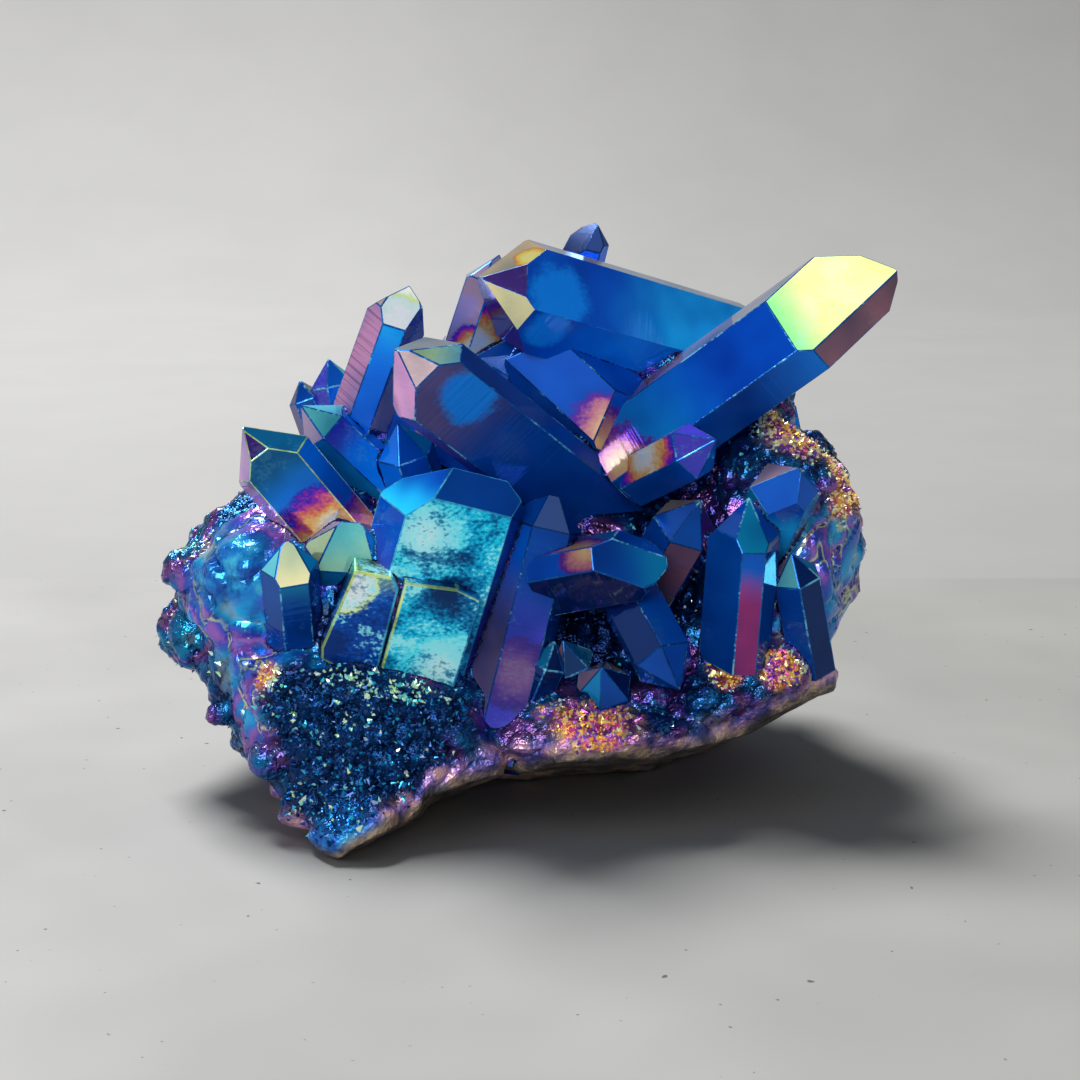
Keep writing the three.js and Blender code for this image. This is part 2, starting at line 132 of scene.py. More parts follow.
CRYSTALS = [
    # the three long ones across the top, and the one between them
    Crystal((-8.5, -8, 70), (27, 17.5, 57), 15.5, -31,
        sides=(0.75, 0.7, 0.9, 0.7, 1, 0.9), drops=(-1.5, -2.5, -1.5, 0, 0, 1),
        ends={0: "olive", 1: "plum", 2: "tan", 5: "plum"},
        walls={0: ("royal", "blue", 10, 26), 1: ("royal", "azure", 18, 38), 2: "tan", 5: "navy"},
        lit={0: ("blue", 0.2, -10, 4), 1: ("blue", -1.3, -10, 5.5), 8: ("gold", -1.8, -5.4, 2.2)}),
    Crystal((-18, -24, 63.5), (14, 9, 31.5), 13.5, -1,
        sides=(0.6, 0.9, 0.7, 1, 0.7, 0.9), drops=(-1.5, -2, 0, 0, 0, -0.5),
        ends={0: "pink_gold", 1: ("dusk_moss", "dusk_teal", 2, 6), 2: "tan", 5: "rose"},
        walls={0: ("mauve", "navy", 8, 20), 1: "navy", 5: ("mauve", "royal", 10, 26)},
        lit={0: ("blue", 2.2, -10.6, 5)}),
    Crystal((47, -5, 72.5), (10, 1.5, 44), 13, -31,
        sides=(0.95, 1.05, 0.85, 1, 1, 1), drops=(9, 6.5, -2, -6, -4, -2),
        ends={0: ("lime", "green", 9, 19), 1: "umber", 5: "tan"},
        walls={0: ("royal", "teal", 24, 50), 1: ("blue", "navy", 12, 26), 5: "tan"},
        lit={0: ("warm", 3.3, -44.5, 6)}),
    Crystal((-7, -8, 58.5), (17, 9, 46), 13, 8,
        sides=(0.9, 1, 1, 1, 1, 1), drops=(9, 2, 0, 0, 4, 9),
        ends={0: "royal", 1: "royal", 2: "navy", 5: "navy"},
        walls={0: "royal", 1: "royal", 2: "navy", 5: "navy"},
        lit={0: ("warm", -3.5, -17.5, 6), 6: ("warm", -1.0, -17, 4.5)}, edges="faint"),
    # the back row
    Crystal((7.5, 16, 76.5), (1, 17, 50), 5.5, 10, drops=(1, 0, 0, 0, 0, 2),
        ends={0: "midnight", 5: "midnight", 1: "navy"}, walls={0: "navy", 5: "umber"},
        edges="faint"),
    Crystal((-5.5, 8, 72), (-15, 8, 44), 7.5, 31,
        sides=(1, 1, 1, 1, 0.9, 1), drops=(0, 0, 0, 0, 0, -1),
        ends={0: "lavender", 5: "lavender", 4: "lavender"}, walls={5: "lavender", 0: "violet"},
        lit={5: ("rainbow", 2.4, -12.8, 3.5), 0: ("rainbow", -1, -12, 6)}),
    Crystal((0, 6, 63), (-9, 6, 42), 12, 20,
        ends={k: "navy" for k in range(SIDES)}, walls={k: "navy" for k in range(SIDES)},
        edges="faint"),
    Crystal((-17.5, 0, 68.5), (-27.5, 4.5, 42), 8.5, 11,
        sides=(1.05, 0.7, 1.2, 1, 0.8, 1), drops=(-1, -2, 0, 0, 0, -2.5),
        ends={0: "mint", 1: "navy", 5: "tan"},
        walls={0: ("azure", "blue", 4, 12), 5: "pink", 1: "navy"},
        lit={6: ("mint", -0.2, -3.9, 3.6)}),
    Crystal((-29, 6, 58), (-25, 4, 38), 6, 20,
        ends={5: "violet", 0: "navy"}, walls={0: "royal", 5: "violet"}),
    Crystal((-33, 6, 55), (-27, 4, 38), 4.5, 0,
        ends={5: "umber", 0: "navy"}, walls={0: "navy", 5: "umber"}),
    # the left group
    Crystal((-38, -14, 52), (-22.5, -9, 31), 9.2, 2,
        sides=(0.8, 1.1, 1, 1, 1, 1.05), drops=(-1.5, -0.5, 0, 0, 0, -1),
        ends={0: "plum", 1: "deep_teal", 5: "rose"},
        walls={0: ("deep_teal", "blue", 5, 13), 1: ("blue", "navy", 3, 16), 5: "rose"},
        lit={0: ("rainbow", 0.5, -18, 8.5), 1: ("warm", 0, -22, 8)}, edges="lime"),
    Crystal((-32, -3, 53), (-17, 2, 37), 7, 25,
        ends={0: ("sage", "teal", 2, 7), 1: "sage", 5: "lavender"},
        walls={0: ("violet", "blue", 3, 9), 1: "blue"}),
    Crystal((-19, -5, 51), (-15, 0, 35), 7, 15,
        ends={0: "navy", 1: "teal"}, walls={0: "navy", 1: "deep_teal"}),
    Crystal((-24, -18, 41), (-28, -5, 24), 9, 11,
        sides=(0.85, 1, 1, 1, 1, 1.1), drops=(2, 0, 0, 1, 0, 0),
        ends={0: ("sage", "moss", 3, 9), 5: "moss", 1: "teal"}, walls={0: "teal"}),
    Crystal((-32, -22, 39), (-32, -14, 20), 6.5, 16, drops=(1, 0, 0, 0, 0, 0),
        ends={0: ("moss", "olive", 2, 6), 5: "sage", 1: "teal"},
        walls={0: ("teal", "navy", 5, 9), 5: "navy", 1: "navy"}),
    # the stout front block, and the one beside it
    Crystal((-8.5, -14, 51), (-20, -10, 12), 16.3, 7,
        sides=(0.75, 1.1, 1.15, 1, 1, 1.05), drops=(0, -5.5, 0, 8, 0, 0),
        ends={0: "navy", 1: "navy", 5: ("royal", "azure", 5, 12)},
        walls={0: "aqua", 1: ("navy", "violet", 16, 26), 5: ("royal", "violet", 14, 26)},
        lit={0: ("glow", -3.0, -13.0, 6.5)}, edges="pale"),
    Crystal((2, -11, 44), (-7, -15, 8), 9, 10, drops=(0, 0, 0, 3, 0, 0),
        ends={0: "midnight", 1: "navy", 5: "navy"},
        walls={0: ("navy", "violet", 12, 22), 1: "navy", 5: ("royal", "mauve", 10, 20)},
        lit={0: ("plum", 0.5, -25, 6)}, edges="faint"),
    # the arch over the hollow, and what stands in it, whose midnight and navy coats are painted
    # shade
    Crystal((17.5, -18, 35.5), (0, -13, 31), 8.6, -29,
        sides=(1.2, 0.8, 1, 1, 1.05, 1.05), drops=(3, 0, 0, 0, -1.5, 1.5),
        ends={0: ("teal", "navy", 2, 7), 1: "midnight", 5: "navy"},
        walls={0: ("deep_teal", "navy", 4, 10), 1: "midnight", 5: ("teal", "mauve", 6, 13)},
        lit={0: ("warm", -1.6, -10.8, 3.6), 5: ("warm", 2.6, -12, 4.5)}),
    Crystal((18, -22, 19), (11, -10, 30), 7.5, 15,
        ends={0: "navy", 1: "navy", 5: "navy"}, walls={0: "midnight", 1: "navy", 5: "navy"},
        edges="faint"),
    Crystal((3, -12, 23), (7, -6, 10), 6, 10,
        ends={0: "midnight", 1: "deep_teal"}, walls={0: "midnight"}),
    Crystal((8, -18, 21), (9, -9, 10), 7, 20,
        ends={0: "navy", 1: "midnight"}, walls={0: "navy"}),
    Crystal((2, -16, 24), (-5, -13, 6), 5, 30,
        ends={0: "midnight", 5: "deep_teal"}, walls={0: "midnight", 5: "midnight"}),
    # the right group
    Crystal((33, -16, 47), (29.5, -1, 31), 8.5, 6,
        sides=(0.95, 0.85, 1.15, 1, 1, 1), drops=(-3, -1, 0, 0, 0, 0),
        ends={0: "royal", 1: "royal", 5: "royal"},
        walls={0: ("royal", "azure", 4, 9), 1: ("azure", "pink", 8, 15), 5: "teal"}),
    Crystal((27, -15, 43), (26, -12, 20), 8.3, -54,
        sides=(0.85, 1.15, 0.95, 1, 1, 1.15), ends={0: "navy", 1: "teal", 2: "navy"},
        walls={1: ("royal", "magenta", 9, 14), 0: "navy", 2: "navy"}),
    Crystal((33, -12, 35), (36.8, -6.7, 17.6), 6, 30,
        ends={0: "midnight"}, walls={0: "midnight", 5: "navy"}),
    Crystal((23, -12, 50), (13, -3, 43), 7, 20,
        ends={0: "violet", 4: "violet", 5: "violet"}, walls={0: "navy", 5: "navy"},
        lit={5: ("rainbow", -0.9, -9.8, 6)}),
    Crystal((21, -12, 42), (15, -3, 28), 8, 10,
        ends={0: "navy", 5: "navy", 1: "plum"}, walls={0: "umber", 5: "navy"}, edges="faint"),
    # the back
    Crystal((23, 24, 61), (15, 14, 34), 12, 25, drops=(0, 0, 2, 5, 0, 0),
        ends={2: "sage", 3: ("lime", "green", 3, 9), 4: "tan"},
        walls={2: ("blue", "azure", 4, 18), 3: ("mauve", "navy", 6, 16)},
        lit={3: ("blue", 1, -9, 5)}),
    Crystal((5, 31, 62), (3, 17, 34), 12, 5, drops=(0, 3, 0, 0, 1, 0),
        ends={2: "olive", 3: "pink_gold", 4: "rose"},
        walls={2: ("navy", "blue", 4, 14), 3: ("blue", "azure", 3, 18), 4: "violet"},
        lit={3: ("rainbow", 1, -24, 9)}),
    Crystal((-13, 31, 60), (-7, 16, 34), 10, 15, drops=(0, 0, 3, 0, 0, 1),
        ends={2: "sage", 3: "moss", 4: "plum"},
        walls={3: ("teal", "royal", 4, 14), 4: ("pink", "violet", 4, 12)},
        lit={2: ("warm", 0, -12, 5)}),
    Crystal((-27, 26, 55), (-17, 14, 32), 9, 40),
    Crystal((37, 24, 50), (23, 14, 28), 9, 10, drops=(0, 0, 0, 3, 0, 0)),
    Crystal((-2, 45, 45), (0, 20, 28), 9, 20, drops=(2, 0, 0, 0, 0, 0)),
    Crystal((21, 43, 41), (13, 22, 26), 8),
    Crystal((-23, 42, 39), (-14, 22, 26), 9, 30, drops=(0, 0, 2, 0, 0, 0)),
    Crystal((-41, 22, 44), (-26, 10, 28), 8, 15),
    Crystal((44, 17, 39), (28, 10, 26), 8, 35),
    Crystal((9, 46, 24), (6, 26, 20), 7, 10),
    Crystal((-12, 43, 22), (-8, 24, 20), 6.5, 25),
    Crystal((-37, 33, 27), (-22, 18, 20), 8, 5),
    Crystal((36, 34, 26), (22, 20, 20), 8, 20, drops=(0, 2, 0, 0, 0, 0)),
]

# Two steps grown on the front block, the crystal of this number: their outlines on its face
# as (across, up from the block's tip), how far they stand off it and how deep they go. Their
# bevels are painted edge highlights, pale where they look this much to the right, and lime
# elsewhere; each step's bright spot is a painted highlight.
STEP_BLOCK = 15
STEPS = [
    [(-12.4, -30.4), (-10.9, -19), (-6.1, -18.7), (-4.8, -20), (-4.5, -32.7), (-5.8, -33.7),
     (-12, -32)],
    [(-4.2, -32.3), (-4.3, -19), (2.5, -18.2), (5.9, -19), (5.8, -32.2), (2.1, -33.6)],
]
STEP_STANDS = 2
STEP_DEPTH = 8
STEP_BEVEL = 0.35
STEP_RIGHT = 0.1
STEP_COATS = [("speckled_green", "speckled_navy", 17, 23), ("teal", "aqua", 17, 25)]
STEP_LIT = [("mint", -11.5, -21, 4.5), ("glow", 3.5, -29, 6.5)]

# The broken underside: its profile (x, z) under the rim, which is this far forward, and how
# fast it falls towards the back.
UNDERCUT = [(-34, -14), (-24.6, -4.2), (-15.6, 1.5), (-14.4, 4), (-7.7, 6.6), (2, 9),
            (15, 9.8), (26, 13), (34, 18), (39, 20.5), (70, 30)]
UNDERCUT_FRONT = -22
UNDERCUT_FALL = 0.43


def unit(vector):
    """The vector at length 1, as an array."""
    vector = np.asarray(vector, float)
    return vector / np.linalg.norm(vector)


def crystal_frame(spec):
    """A crystal's tip, its axis, and the ways square to it: to the front and across."""
    axis = unit(np.subtract(spec.tip, spec.foot))
    front = np.array((0.0, -1.0, 0.0))
    front = unit(front - front.dot(axis) * axis)
    return np.array(spec.tip, float), axis, front, np.cross(axis, front)


def crystal_planes(spec):
    """The planes of a crystal's faces: sides, ends and foot, as (normal, distance)."""
    tip, axis, front, across = crystal_frame(spec)
    turns = [math.radians(spec.roll) + k * SIDE_TURN for k in range(SIDES)]
    outs = [math.cos(turn) * front + math.sin(turn) * across for turn in turns]
    planes = [(out, out.dot(tip) + spec.width / 2 * side) for out, side in zip(outs, spec.sides)]
    for out, drop in zip(outs, spec.drops):
        normal = math.cos(END_LEAN) * axis + math.sin(END_LEAN) * out
        planes.append((normal, normal.dot(tip - axis * drop)))
    planes.append((-axis, -axis.dot(spec.foot)))
    return planes


# Rounding errors: what is nearly nothing, and how near two corners are to be the same.
NEARLY = 1e-6
SAME = 1e-4


def convex_faces(planes):
    """The faces that the planes bound: for each, its plane's number and its corners in turn."""
    normals = np.array([normal for normal, _ in planes])
    reach = np.array([distance for _, distance in planes])
    corners = []
    for trio in itertools.combinations(range(len(planes)), 3):
        matrix = normals[list(trio)]
        if abs(np.linalg.det(matrix)) < NEARLY:
            continue
        point = np.linalg.solve(matrix, reach[list(trio)])
        if np.all(normals @ point <= reach + NEARLY):
            if not any(np.linalg.norm(point - other) < SAME for other in corners):
                corners.append(point)
    corners = np.array(corners)
    faces = []
    for number, (normal, distance) in enumerate(planes):
        on_plane = np.where(np.abs(corners @ normal - distance) < SAME)[0]
        if len(on_plane) < 3:
            continue
        middle = corners[on_plane].mean(0)
        right = unit(corners[on_plane[0]] - middle)
        up = np.cross(normal, right)
        turn = [math.atan2((corners[i] - middle) @ up, (corners[i] - middle) @ right)
                for i in on_plane]
        faces.append((number, [int(i) for _, i in sorted(zip(turn, on_plane))]))
    return corners, faces


# The coats of faces that have none named: of those that look up, left or right by more than
# this, as painted reflection of what lies that way, and of the other ends and sides.
LOOKS_UP, LOOKS_LEFT, LOOKS_RIGHT = 0.8, -0.6, 0.7
TOP_REFLECTION_COATS = ["tan", "lavender", "teal"]
LEFT_REFLECTION_COATS = ["rose", "lavender", "blue", "violet"]
RIGHT_REFLECTION_COATS = ["violet", "mauve", "navy", "blue"]
END_COATS = ["teal", "royal", "sage", "violet", "blue"]
SIDE_COATS = ["blue", "navy", "blue", "royal", "teal"]


def coat_of(spec, number, normal, rng):
    """The coat of one face: as named, or one that suits the way the face looks, as painted
    reflection.
    """
    if number < SIDES:
        named = spec.walls.get(number)
    else:
        named = spec.ends.get(number - SIDES)
    if named:
        return named
    if normal[2] > LOOKS_UP:
        return rng.choice(TOP_REFLECTION_COATS)
    if normal[0] < LOOKS_LEFT:
        return rng.choice(LEFT_REFLECTION_COATS)
    if normal[0] > LOOKS_RIGHT:
        return rng.choice(RIGHT_REFLECTION_COATS)
    return rng.choice(END_COATS if number >= SIDES else SIDE_COATS)


# The bevels between faces: their width, tints, share of metal and grain. The pale and lime
# tints are painted edge highlights.
EDGE_BEVEL = 0.14
EDGE_TINTS = {"plain": (0.006, 0.12, 0.45), "faint": (0.002, 0.05, 0.25),
              "pale": (0.05, 0.45, 0.8), "lime": (0.62, 0.85, 0.25)}
EDGE_METAL = 0.4
EDGE_GRAIN = 0.5
EDGE_PROFILE = 0.6
ON_EDGE = -1

# How much a coat's colour varies from face to face, the fade of one that doesn't give way to
# another, and the kinds of bright spot, which a face keeps by number.
COAT_SPREAD = 0.2
NO_FADE = (0.0, 1.0)
LIT_KINDS = ["none", "rainbow", "warm", "blue", "gold", "plum", "glow", "mint"]
NOT_LIT = (0.0, 0.0, 1.0, 0.0)


def new_layers(bm):
    """The attributes that carry a face's coats and its place on the crystal."""
    kinds = bm.faces.layers
    return dict(
        coat=kinds.float_color.new("coat"),
        far=kinds.float_color.new("far"),
        fade=kinds.float_vector.new("fade"),
        lit=kinds.float_color.new("lit"),
        number=kinds.int.new("number"),
        place=bm.loops.layers.float_vector.new("place"),
    )


def lay(face, layers, near, far, fade, grain):
    """Writes two coats, each a colour and a share of metal, and where one turns into the other."""
    face[layers["coat"]] = near
    face[layers["far"]] = far
    face[layers["fade"]] = (*fade, grain)
    face[layers["lit"]] = NOT_LIT


def lay_edge(face, layers, tint):
    """Writes the tint of a bevel."""
    edge = (*EDGE_TINTS[tint], EDGE_METAL)
    lay(face, layers, edge, edge, NO_FADE, EDGE_GRAIN)


def lay_spot(face, layers, spot):
    """Writes a face's bright spot."""
    kind, *circle = spot
    face[layers["lit"]] = (*circle, LIT_KINDS.index(kind))


def lay_place(face, layers, tip, sideways, axis, number):
    """Writes how far the corners are across the face and along the crystal from its tip."""
    for loop in face.loops:
        offset = np.array(loop.vert.co) - tip
        loop[layers["place"]] = (offset @ sideways, offset @ axis, number)


def paint(face, layers, coat, rng):
    """Writes a coat to a face, a little different each time."""
    first, second, *fade = coat if isinstance(coat, tuple) else (coat, coat, *NO_FADE)
    shift = [1 + COAT_SPREAD * (rng.random() - 0.5) for _ in range(3)]
    near, far = ([c * s for c, s in zip(COATS[name][0], shift)] + [COATS[name][1]]
                 for name in (first, second))
    grain = max(COATS[first][2], COATS[second][2])
    lay(face, layers, near, far, fade, grain)


def bevelled(bm, width, segments):
    """Bevels every edge and returns the bevels' faces."""
    return bmesh.ops.bevel(bm, geom=bm.edges[:], offset=width, offset_type="OFFSET",
                           segments=segments, profile=EDGE_PROFILE, affect="EDGES",
                           clamp_overlap=True)["faces"]


def add_object(name, data):
    """Puts a new object in the scene."""
    thing = bpy.data.objects.new(name, data)
    scene.collection.objects.link(thing)
    return thing


def mesh_object(bm, name):
    """Turns a bmesh into an object in the scene."""
    mesh = bpy.data.meshes.new(name)
    bm.to_mesh(mesh)
    bm.free()
    return add_object(name, mesh)


def crystal_object(spec, name, rng):
    """One crystal as a mesh object: flat faces with narrow bevels between them."""
    planes = crystal_planes(spec)
    corners, faces = convex_faces(planes)
    bm = bmesh.new()
    layers = new_layers(bm)
    verts = [bm.verts.new(corner) for corner in corners]
    for number, ring in faces:
        face = bm.faces.new([verts[i] for i in ring])
        face[layers["number"]] = number
        paint(face, layers, coat_of(spec, number, planes[number][0], rng), rng)
        if number in spec.lit:
            lay_spot(face, layers, spec.lit[number])
    bm.normal_update()
    for face in bevelled(bm, EDGE_BEVEL, 2):
        face[layers["number"]] = ON_EDGE
        lay_edge(face, layers, spec.edges)
    tip, axis, *_ = crystal_frame(spec)
    for face in bm.faces:
        sideways = np.cross(axis, np.array(face.normal))
        lay_place(face, layers, tip, sideways, axis, face[layers["number"]])
    return mesh_object(bm, name)


def step_frame():
    """The front block's tip, the ways along, up and out of its face, and the steps' height."""
    spec = CRYSTALS[STEP_BLOCK]
    tip, axis, front, across = crystal_frame(spec)
    turn = math.radians(spec.roll)
    out = math.cos(turn) * front + math.sin(turn) * across
    stand = spec.width / 2 * spec.sides[0] + STEP_STANDS
    return tip, np.cross(axis, out), axis, out, stand


def step_object(outline, coat, spot, name, rng):
    """One step on the front block's face: its outline made thick and bevelled."""
    tip, along, axis, out, stand = step_frame()
    bm = bmesh.new()
    layers = new_layers(bm)
    inner, outer = ([bm.verts.new(tip + along * x + axis * y + out * depth) for x, y in outline]
                    for depth in (stand - STEP_DEPTH, stand))
    faces = [bm.faces.new(outer[::-1]), bm.faces.new(inner)]
    for i in range(len(outline)):
        j = (i + 1) % len(outline)
        faces.append(bm.faces.new((inner[j], inner[i], outer[i], outer[j])))
    bmesh.ops.recalc_face_normals(bm, faces=bm.faces[:])
    for face in faces:
        paint(face, layers, coat, rng)
    lay_spot(faces[0], layers, spot)
    bevels = bevelled(bm, STEP_BEVEL, 3)
    bm.normal_update()
    # painted edge highlights: pale on the bevels that look right, lime elsewhere
    for face in bevels:
        on_right = np.array(face.normal) @ along > STEP_RIGHT
        lay_edge(face, layers, "pale" if on_right else "lime")
    for face in bm.faces:
        lay_place(face, layers, tip, along, axis, 0)
    return mesh_object(bm, name)


# The base is remeshed from the frame's solid and smoothed, pulled in by this much under the
# crystals' own faces, and grown back out where it stands free, away from them.
VOXEL = 0.62
SMOOTHING = 0.5
SMOOTH_ROUNDS = 4
PULLED_IN = 0.5
SUNK = 0.35
FREE_GAP = (0.3, 2.5)

# Its relief: wide folds where it is polished, lumps elsewhere, ripples and a slow swell. The
# ripples and the wander of the zones are read elsewhere in the noise, so as to differ.
RIPPLES_AT = 40
WANDER_AT = 90
FOLD_CELL = 7.0
LUMP_CELL = 4.2
LUMP_HEIGHT = 1.3
RIPPLE_CELL = 1.7
RIPPLE_HEIGHT = 0.4
SWELL_CELL = 6.0
SWELL_HEIGHT = 0.5

# Zones of the base, each made of balls that fade towards their edge: centre and radius. The
# shaded zone is painted shade, dark in the hollow under the arch and where the base shows
# between crystals.
ZONES = {
    "drusy": [(-22, -28, 14, 12), (-30, -26, 17, 7), (-12, -26, 19, 6),
              (-27, -30, 8, 8), (20, 40, 25, 18), (-20, 38, 25, 18), (0, 30, 45, 14)],
    "gilded": [(7.5, -25, 17, 8), (35, 0, 50, 6), (-1, -22, 17, 3.5), (32, -14, 20, 4),
               (41, 0, 42, 5), (25, -14, 20, 3), (24, -10, 45, 4), (-36, -22, 22, 2.5),
               (-5, 40, 30, 7), (30, 32, 22, 7), (-36, 26, 22, 7)],
    "polished": [(-40, -16, 32, 13), (-22, -34, 2, 6), (-36, -22, 20, 9),
                 (38, -4, 28, 12), (-38, 14, 34, 12), (36, 22, 36, 10)],
    "shaded": [(8, -12, 38, 6), (5, -9, 22, 7), (16, -9, 30, 5)],
    "sky": [(-25, -33, 3, 5.5), (-40, -18, 34, 6), (-36, -22, 26, 4)],
}
ZONE_FADE = (0.7, 1.15)
WANDER = 1.5
WANDER_CELL = 5.0
RIM_WANDER = 1.5
FOLD_WANDER = 3.0

# How far over the broken underside the bare stone and the rim above it end.
STONE_FADE = (0.5, 2.5)
RIM_FADE = (1.5, 5.0)


def apply_modifiers(thing):
    """Replaces an object's mesh by what its modifiers make of it."""
    graph = bpy.context.evaluated_depsgraph_get()
    mesh = bpy.data.meshes.new_from_object(thing.evaluated_get(graph))
    thing.modifiers.clear()
    thing.data = mesh


def rows_of(items, name):
    """A vector of each of a mesh's items, as the rows of an array."""
    flat = np.empty(3 * len(items))
    items.foreach_get(name, flat)
    return flat.reshape(-1, 3)


def points_of(mesh):
    """A mesh's vertices and the ways out of the surface at them."""
    return rows_of(mesh.vertices, "co"), rows_of(mesh.vertex_normals, "vector")


def smoothstep(low, high, value):
    """0 below `low`, 1 above `high`, and a smooth rise between them."""
    share = np.clip((value - low) / (high - low), 0, 1)
    return share * share * (3 - 2 * share)


def noise_at(points, cell):
    """Smooth noise, from about -1 to 1, with features of the cell's size."""
    return np.array([noise.noise(point) for point in points / cell])


def bumps_at(points, cell):
    """Rounded bumps with creases between them, from 0 to 1."""
    found = [noise.voronoi(point)[0] for point in points / cell]
    nearest = np.array([distances[0] for distances in found])
    second = np.array([distances[1] for distances in found])
    return np.clip(second - nearest, 0, 1) ** 0.5


def height_over_undercut(points):
    """How far points are above the broken underside."""
    profile = np.array(UNDERCUT, float)
    floor = np.interp(points[:, 0], profile[:, 0], profile[:, 1])
    floor = floor - UNDERCUT_FALL * (points[:, 1] - UNDERCUT_FRONT)
    return points[:, 2] - np.maximum(floor, 0)


def step_planes():
    """The box round the steps, as planes."""
    tip, along, up, out, stand = step_frame()
    widths, heights = zip(*(spot for outline in STEPS for spot in outline))
    bounds = [(along, max(widths)), (-along, -min(widths)), (up, max(heights)),
              (-up, -min(heights)), (out, stand), (-out, STEP_DEPTH - stand)]
    return [(normal, normal.dot(tip) + reach) for normal, reach in bounds]


def gap_to_crystals(points):
    """How far points are outside the nearest large crystal; negative inside one."""
    nearest = np.full(len(points), np.inf)
    for planes in [crystal_planes(spec) for spec in CRYSTALS] + [step_planes()]:
        beyond = np.full(len(points), -np.inf)
        for normal, distance in planes:
            beyond = np.maximum(beyond, points @ normal - distance)
        nearest = np.minimum(nearest, beyond)
    return nearest


def zone_share(points, balls, wander):
    """How much points belong to a zone, from 0 to 1."""
    share = np.zeros(len(points))
    for *centre, radius in balls:
        away = np.linalg.norm(points - np.array(centre), axis=1) + wander
        low, high = (fade * radius for fade in ZONE_FADE)
        share = np.maximum(share, 1 - smoothstep(low, high, away))
    return share


def base_shares(points, outward, wander):
    """How much points belong to each zone of the base, to its underside and to its rim."""
    shares = {name: zone_share(points, balls, wander) for name, balls in ZONES.items()}
    shares["polished"] *= 1 - shares["drusy"]
    over = height_over_undercut(points)
    shares["under"] = 1 - smoothstep(*STONE_FADE, over)
    rim = 1 - smoothstep(*RIM_FADE, over + RIM_WANDER * wander)
    shares["rim"] = rim * smoothstep(-0.2, 0.3, -outward[:, 1] + 0.3)
    return shares


def remeshed_solid():
    """The frame's solid, in millimetres and remeshed fine."""
    base = add_object("base", frame["nodes"]["quartz_cluster"].data.copy())
    base.data.materials.clear()
    base.data.transform(Matrix.Translation(MIDDLE) @ Matrix.Scale(1 / MM, 4))
    remesh = base.modifiers.new("remesh", "REMESH")
    remesh.mode = "VOXEL"
    remesh.voxel_size = VOXEL
    smooth = base.modifiers.new("smooth", "SMOOTH")
    smooth.factor = SMOOTHING
    smooth.iterations = SMOOTH_ROUNDS
    apply_modifiers(base)
    return base


def base_object():
    """The lumpy base: the remeshed solid with its small relief and its zones."""
    base = remeshed_solid()
    mesh = base.data
    points, outward = points_of(mesh)
    wander = WANDER * noise_at(points + WANDER_AT, WANDER_CELL)
    shares = base_shares(points, outward, wander)
    under = shares["under"]
    calm = np.maximum.reduce([shares["polished"], under, shares["rim"]])
    contour = bumps_at(points + FOLD_WANDER * wander[:, None], FOLD_CELL)
    lumps = calm * contour + (1 - calm) * bumps_at(points, LUMP_CELL)
    ripples = bumps_at(points + RIPPLES_AT, RIPPLE_CELL)
    height = LUMP_HEIGHT * lumps * (1 - 0.8 * under)
    height += RIPPLE_HEIGHT * ripples * (1 - 0.9 * calm)
    height += SWELL_HEIGHT * noise_at(points, SWELL_CELL) * (1 - under)
    free = smoothstep(*FREE_GAP, gap_to_crystals(points))
    moved = points + outward * (free * (height - SUNK) - (1 - free) * PULLED_IN)[:, None]
    moved[:, 2] = np.maximum(moved[:, 2], 0)
    mesh.vertices.foreach_set("co", moved.ravel())
    mesh.update()
    ripples = np.maximum(ripples, calm)
    # The crease share is low between lumps and ripples, where the base's colour is darkened as
    # painted shade.
    shares["crease_shade"] = (0.25 + lumps * 0.75) * (0.5 + 0.5 * ripples)
    shares["contour"] = contour
    for name, values in shares.items():
        mesh.attributes.new(name, "FLOAT", "POINT").data.foreach_set("value", values)
    return base


def joined(base, parts):
    """Joins the base and the parts in one closed mesh."""
    others = bpy.data.collections.new("others")
    for part in parts:
        others.objects.link(part)
    union = base.modifiers.new("union", "BOOLEAN")
    union.operation = "UNION"
    union.solver = "MANIFOLD"
    union.operand_type = "COLLECTION"
    union.collection = others
    apply_modifiers(base)
    for part in parts:
        bpy.data.objects.remove(part)
    bpy.data.collections.remove(others)
    return base


def new_material(name):
    """A material with an empty tree, and the tree."""
    material = bpy.data.materials.new(name)
    material.use_nodes = True
    material.node_tree.nodes.clear()
    return material, material.node_tree


def new_node(tree, kind, inputs=(), **settings):
    """A node with its settings, and its sockets linked to others or set to values."""
    node = tree.nodes.new("ShaderNode" + kind)
    for name, value in settings.items():
        setattr(node, name, value)
    for key, value in dict(inputs).items():
        socket = node.inputs[key]
        if isinstance(value, bpy.types.NodeSocket):
            tree.links.new(value, socket)
        elif socket.type == "RGBA":
            socket.default_value = (*value, 1.0)
        else:
            socket.default_value = value
    return node


def object_place(tree):
    """The place on the object, in metres."""
    return new_node(tree, "TexCoord").outputs["Object"]


def attribute(tree, name):
    """The node that reads a mesh attribute."""
    return new_node(tree, "Attribute", attribute_name=name)


def maths(tree, operation, *values):
    """A Math node's result from numbers or sockets."""
    return new_node(tree, "Math", enumerate(values), operation=operation).outputs[0]


def weighted(tree, *terms):
    """The sum of (number socket, weight) terms."""
    total = 0.0
    for value, weight in terms:
        total = maths(tree, "MULTIPLY_ADD", value, weight, total)
    return total


def mix_number(tree, factor, first, second):
    """A mix of two numbers."""
    return new_node(tree, "Mix", {0: factor, 2: first, 3: second}).outputs[0]


def mix(tree, factor, first, second, blend="MIX"):
    """A mix of two colours."""
    inputs = {0: factor, 6: first, 7: second}
    return new_node(tree, "Mix", inputs, data_type="RGBA", blend_type=blend).outputs[2]


